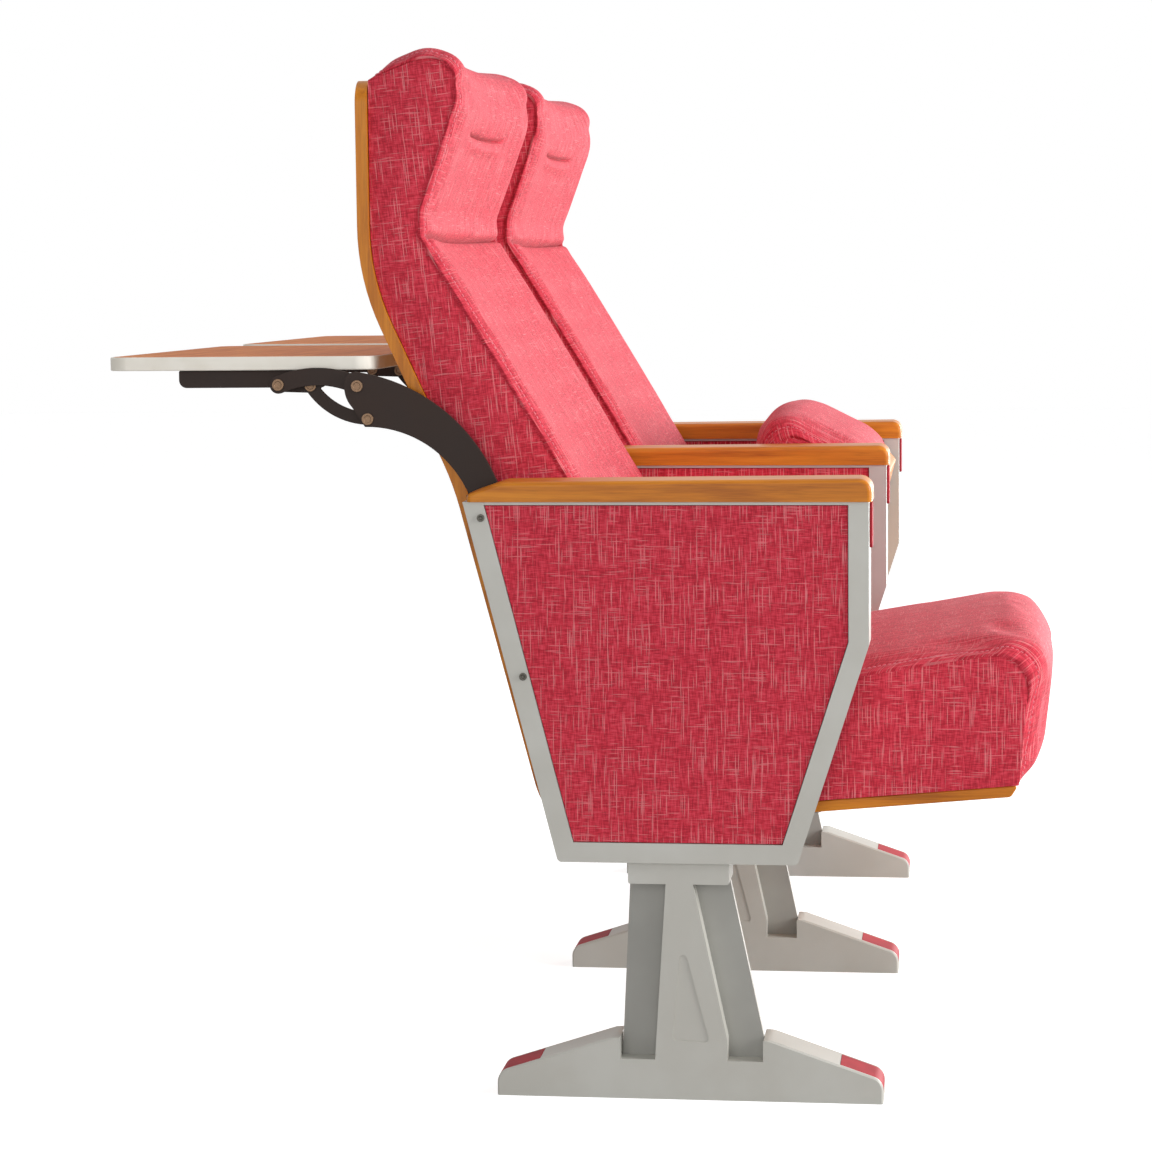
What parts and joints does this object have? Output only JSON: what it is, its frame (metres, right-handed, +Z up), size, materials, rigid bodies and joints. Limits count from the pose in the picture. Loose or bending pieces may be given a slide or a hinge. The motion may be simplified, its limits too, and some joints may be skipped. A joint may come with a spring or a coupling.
{
  "type": "tip up auditorium seat",
  "caption": "Row of tip up auditorium seats on pedestal standards: upholstered seats and high backs in wooden shells, shared armrests and folding writing tablets behind the backs.",
  "frame": {"origin": "on the floor, in the middle of the middle standard's foot", "axes": "+X forward, the way a sitter faces; +Y along the row to the sitter's left; +Z up"},
  "size_m": [0.971, 1.224, 1.0611],
  "materials": {
    "frame_paint": "light warm grey powder coat",
    "casting_paint": "light warm grey powder coat on a casting",
    "dark_paint": "dark brown semi gloss paint",
    "red_fabric": "crimson heather weave",
    "lacquered_wood": "golden clear lacquered plywood",
    "tablet_laminate": "orange wood grain laminate on board",
    "edge_plastic": "cream",
    "red_plastic": "red",
    "nylon": "natural nylon",
    "buffer_rubber": "black",
    "zinc_steel": "zinc plated",
    "bronze_steel": "bronze toned"
  },
  "bodies": {
    "row": {"foot_right_end": "casting_paint", "stem_right_end": "casting_paint", "side_frame_right_end": "frame_paint", "side_panels_right_end": "red_fabric", "armrest_right_end": "lacquered_wood", "foot_middle": "casting_paint", "stem_middle": "casting_paint", "side_frame_middle": "frame_paint", "side_panels_middle": "red_fabric", "armrest_middle": "lacquered_wood", "foot_left_end": "casting_paint", "stem_left_end": "casting_paint", "side_frame_left_end": "frame_paint", "side_panels_left_end": "red_fabric", "armrest_left_end": "lacquered_wood", "foot_caps": "red_plastic", "front_strips": "red_plastic", "frame_bolts": "zinc_steel", "back_shell_right": "lacquered_wood", "back_cushion_right": "red_fabric", "back_brackets_right": "dark_paint", "bracket_bolts_right": "zinc_steel", "pivot_bushes_right": "nylon", "stop_sleeves_right": "buffer_rubber", "return_springs_right": "zinc_steel", "tablet_arms_right": "dark_paint", "arm_rivets_right": "bronze_steel", "back_shell_left": "lacquered_wood", "back_cushion_left": "red_fabric", "back_brackets_left": "dark_paint", "bracket_bolts_left": "zinc_steel", "pivot_bushes_left": "nylon", "stop_sleeves_left": "buffer_rubber", "return_springs_left": "zinc_steel", "tablet_arms_left": "dark_paint", "arm_rivets_left": "bronze_steel"},
    "seat_right": {"seat_cushion_right": "red_fabric", "seat_board_right": "lacquered_wood", "seat_frame_right": "dark_paint", "pivot_pins_right": "zinc_steel"},
    "upper_links_right": {"upper_links_right": "dark_paint"},
    "lower_links_right": {"lower_links_right": "dark_paint"},
    "tablet_right": {"tablet_board_right": "tablet_laminate", "tablet_edge_right": "edge_plastic", "tablet_rails_right": "dark_paint", "rail_rivets_right": "bronze_steel"},
    "seat_left": {"seat_cushion_left": "red_fabric", "seat_board_left": "lacquered_wood", "seat_frame_left": "dark_paint", "pivot_pins_left": "zinc_steel"},
    "upper_links_left": {"upper_links_left": "dark_paint"},
    "lower_links_left": {"lower_links_left": "dark_paint"},
    "tablet_left": {"tablet_board_left": "tablet_laminate", "tablet_edge_left": "edge_plastic", "tablet_rails_left": "dark_paint", "rail_rivets_left": "bronze_steel"}
  },
  "joints": [
    {"name": "right_seat_tip", "type": "hinge", "parent": "row", "child": "seat_right", "pos_m": [0.052, -0.29, 0.336], "axis": [0, -1, 0], "range_deg": [0, 70], "stiffness_Nm_per_rad": 2.5, "springref_deg": 150.11, "deforming": ["return_springs_right"]},
    {"name": "right_tablet_fold", "type": "hinge", "parent": "row", "child": "upper_links_right", "pos_m": [-0.3393, -0.29, 0.7177], "axis": [0, -1, 0], "range_deg": [0, 55]},
    {"name": "right_tablet_turn", "type": "hinge", "parent": "upper_links_right", "child": "tablet_right", "pos_m": [-0.4224, -0.29, 0.7191], "axis": [0, -1, 0], "range_deg": [0, 55]},
    {"name": "right_stay_turn", "type": "hinge", "parent": "row", "child": "lower_links_right", "pos_m": [-0.3288, -0.29, 0.6841], "axis": [0, -1, 0], "range_deg": [0, 31.4]},
    {"name": "left_seat_tip", "type": "hinge", "parent": "row", "child": "seat_left", "pos_m": [0.052, 0.29, 0.336], "axis": [0, -1, 0], "range_deg": [-70, 0], "stiffness_Nm_per_rad": 2.5, "springref_deg": 80.21, "deforming": ["return_springs_left"]},
    {"name": "left_tablet_fold", "type": "hinge", "parent": "row", "child": "upper_links_left", "pos_m": [-0.3393, 0.29, 0.7177], "axis": [0, -1, 0], "range_deg": [0, 55]},
    {"name": "left_tablet_turn", "type": "hinge", "parent": "upper_links_left", "child": "tablet_left", "pos_m": [-0.4224, 0.29, 0.7191], "axis": [0, -1, 0], "range_deg": [0, 55]},
    {"name": "left_stay_turn", "type": "hinge", "parent": "row", "child": "lower_links_left", "pos_m": [-0.3288, 0.29, 0.6841], "axis": [0, -1, 0], "range_deg": [0, 31.4]}
  ],
  "couplings": [
    {"joint": "right_tablet_turn", "follows": "right_tablet_fold", "ratio": 1},
    {"joint": "right_stay_turn", "follows": "right_tablet_fold", "ratio": 0.57},
    {"joint": "left_tablet_turn", "follows": "left_tablet_fold", "ratio": 1},
    {"joint": "left_stay_turn", "follows": "left_tablet_fold", "ratio": 0.57}
  ]
}
